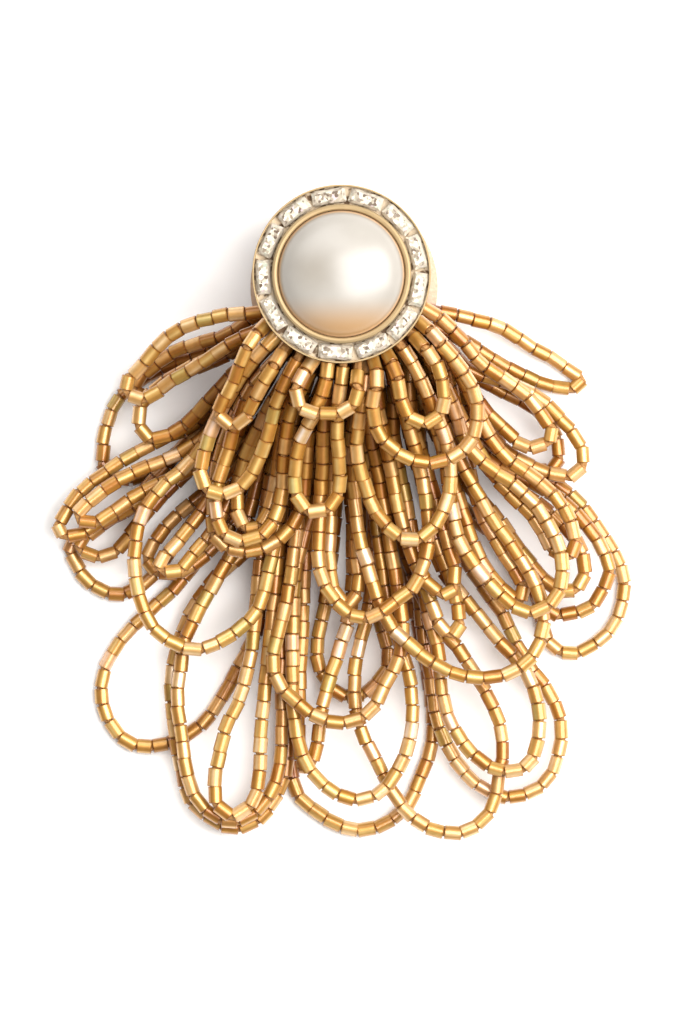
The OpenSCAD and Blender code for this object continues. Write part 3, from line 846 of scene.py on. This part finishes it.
def bead_strand(name, route, cover, materials, rng):
    """One strand's beads and thread. Each point of a bead carries the bead's colour, with painted
    shade.
    """
    points = []
    faces = []
    tints = []
    thread = [route.at(0)]
    weights = [tint[BEADS_IN_HUNDRED] for tint in BEAD_TINTS]
    strand_tone = rng.uniform(*STRAND_TONE_SPREAD)
    for begin, end in bead_stops(route, rng):
        a = route.at(begin)
        b = route.at(end)
        bulge = (route.at((begin + end) / 2) - (a + b) / 2) * BULGE_SHARE
        a = a + bulge + wander(rng)
        b = b + bulge + wander(rng)
        color = rng.choices(BEAD_TINTS, weights)[0][TINT_COLOR]
        # The tone takes painted shade from the strands that run over the bead
        tone = strand_tone * rng.uniform(*TONE_SPREAD) * cover.shade((a + b) / 2)
        radius = BEAD_RADIUS * rng.uniform(*THICKNESS_SPREAD)
        shades = []
        add_bead(points, faces, shades, a, b, radius, rng.uniform(0, math.pi))
        for shade in shades:
            rgb = [min(1.0, c * (tone * shade) ** power) for c, power in zip(color, DEEPEN)]
            tints.append((*rgb, 1.0))
        thread.extend([a, b])
    thread.append(route.at(route.total))
    bead_faces = len(faces)
    add_thread(points, faces, thread)
    tints.extend([THREAD_TINT] * (len(points) - len(tints)))
    obj = make_object(name, points, faces, materials)
    indices = [0] * bead_faces + [1] * (len(faces) - bead_faces)
    obj.data.polygons.foreach_set("material_index", indices)
    layer = obj.data.attributes.new(BEAD_TINT_LAYER, "FLOAT_COLOR", "POINT")
    layer.data.foreach_set("color", [c for tint in tints for c in tint])
    smooth_by_angle(obj, degrees=35)
    return obj


def make_strands():
    materials = [bead_material(), thread_material()]
    rng = random.Random(BEAD_SEED)
    routes = {name: Route(strand_line(*row)) for name, row in LOOPS.items()}
    cover = PaintedCoverShade(routes.values())
    for name, route in routes.items():
        strand = bead_strand(name.replace("loop", "strand"), route, cover, materials, rng)
        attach(strand, "root")
        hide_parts(name)


# The head
PEARL_SIDES = 128
PEARL_DOME_RINGS = 48
PEARL_WALL = 0.0011
PEARL_FOOT_BEVEL = 0.0001
# The drawn pearl nearly meets its bezel
PEARL_FIT = 0.00007


def lathe(name, profile, sides, materials):
    """A turned piece round the head's axis from a profile of radius and height."""
    points = []
    for radius, height in profile:
        for j in range(sides):
            a = 2 * math.pi * j / sides
            points.append(Vector((radius * math.cos(a), HEAD_Y + radius * math.sin(a), height)))
    faces = []
    bridge(faces, 0, sides, len(profile))
    close_ends(faces, 0, sides, len(profile))
    return make_object(name, points, faces, materials)


def make_pearl():
    low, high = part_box("pearl")
    radius = (high.x - low.x) / 2 + PEARL_FIT
    dome = high.z - low.z - PEARL_WALL
    profile = [(radius - PEARL_FOOT_BEVEL, low.z), (radius, low.z + PEARL_FOOT_BEVEL)]
    for i in range(PEARL_DOME_RINGS):
        a = math.pi / 2 * i / PEARL_DOME_RINGS
        profile.append((radius * math.cos(a), low.z + PEARL_WALL + dome * math.sin(a)))
    pearl = lathe("pearl_dome", profile, PEARL_SIDES, [pearl_material()])
    smooth_by_angle(pearl, degrees=50)
    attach(pearl, "root")
    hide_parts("pearl")


def dress(node, material, degrees=None):
    """Gives a CAD node its material, and smooth shading up to an angle if one is given."""
    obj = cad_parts[node]
    obj.data.materials.clear()
    obj.data.materials.append(material)
    if degrees:
        smooth_by_angle(obj, degrees)


def make_head():
    make_pearl()
    dress("setting", gold_material("satin_gold", channel_shade=True), degrees=25)
    dress("ear_clip", gold_material("plain_gold", channel_shade=False), degrees=30)
    dress("crystals", crystal_material())
    dress("backing", suede_material(), degrees=40)


# The stage
FLOOR_SIZE = 6.0
# The beads stand out of the CAD strands, so the floor lies that much lower
FLOOR_GAP = BEAD_RADIUS - STRAND_RADIUS
# What the picture's width spans at half the earring's height
VIEW_WIDTH = 0.0768
CAMERA_HEIGHT = 1.5
NEAR_LIMIT = 0.01
SENSOR = 36
STUDIO_COLOR = (1.0, 0.985, 0.965)
STUDIO_STRENGTH = 0.30


def make_floor():
    half = FLOOR_SIZE / 2
    corners = [(-half, -half), (half, -half), (half, half), (-half, half)]
    points = [Vector((x, y, -FLOOR_GAP)) for x, y in corners]
    look = Look("pale_floor")
    _, color = look.grain(scale=400, detail=2, dark=(0.90, 0.895, 0.89), pale=(0.92, 0.915, 0.91))
    look.surface(
        Base_Color=color,
        Roughness=0.85,
        Emission_Color=(1.0, 0.99, 0.98, 1),
        Emission_Strength=0.09,
    )
    floor = make_object("floor", points, [(0, 1, 2, 3)], [look.material])


def make_camera():
    """Straight above, up the picture is up the earring, the whole earring in view."""
    camera = bpy.data.cameras.new("camera")
    camera.sensor_fit = "HORIZONTAL"
    camera.sensor_width = SENSOR
    camera.clip_start = NEAR_LIMIT
    middle = (cad_box[1][2] - cad_box[0][2]) / 2
    camera.lens = SENSOR * (CAMERA_HEIGHT - middle) / VIEW_WIDTH
    obj = bpy.data.objects.new("camera", camera)
    obj.location = (0, 0, CAMERA_HEIGHT)
    bpy.context.scene.collection.objects.link(obj)
    bpy.context.scene.camera = obj


def area_light(name, place, size, watts, color):
    """A rectangular soft box that faces the earring's middle."""
    light = bpy.data.lights.new(name, "AREA")
    light.shape = "RECTANGLE"
    light.size, light.size_y = size
    light.energy = watts
    light.color = color
    obj = bpy.data.objects.new(name, light)
    obj.location = place
    obj.rotation_euler = (-Vector(place)).to_track_quat("-Z", "Y").to_euler()
    bpy.context.scene.collection.objects.link(obj)


def make_lights():
    """A wide soft box overhead to the right, a weaker one beyond the head, and an even studio."""
    area_light(
        "key", place=(0.25, 0.05, 0.45), size=(0.40, 0.60), watts=6.6, color=STUDIO_COLOR
    )
    area_light(
        "fill", place=(-0.24, 0.42, 0.46), size=(0.60, 0.40), watts=1.7, color=(0.99, 0.99, 1.0)
    )
    world = bpy.data.worlds.new("studio")
    world.use_nodes = True
    background = world.node_tree.nodes["Background"]
    background.inputs["Color"].default_value = (*STUDIO_COLOR, 1)
    background.inputs["Strength"].default_value = STUDIO_STRENGTH
    bpy.context.scene.world = world


make_strands()
make_head()
make_floor()
make_camera()
make_lights()
bpy.context.scene.view_settings.view_transform = "Standard"
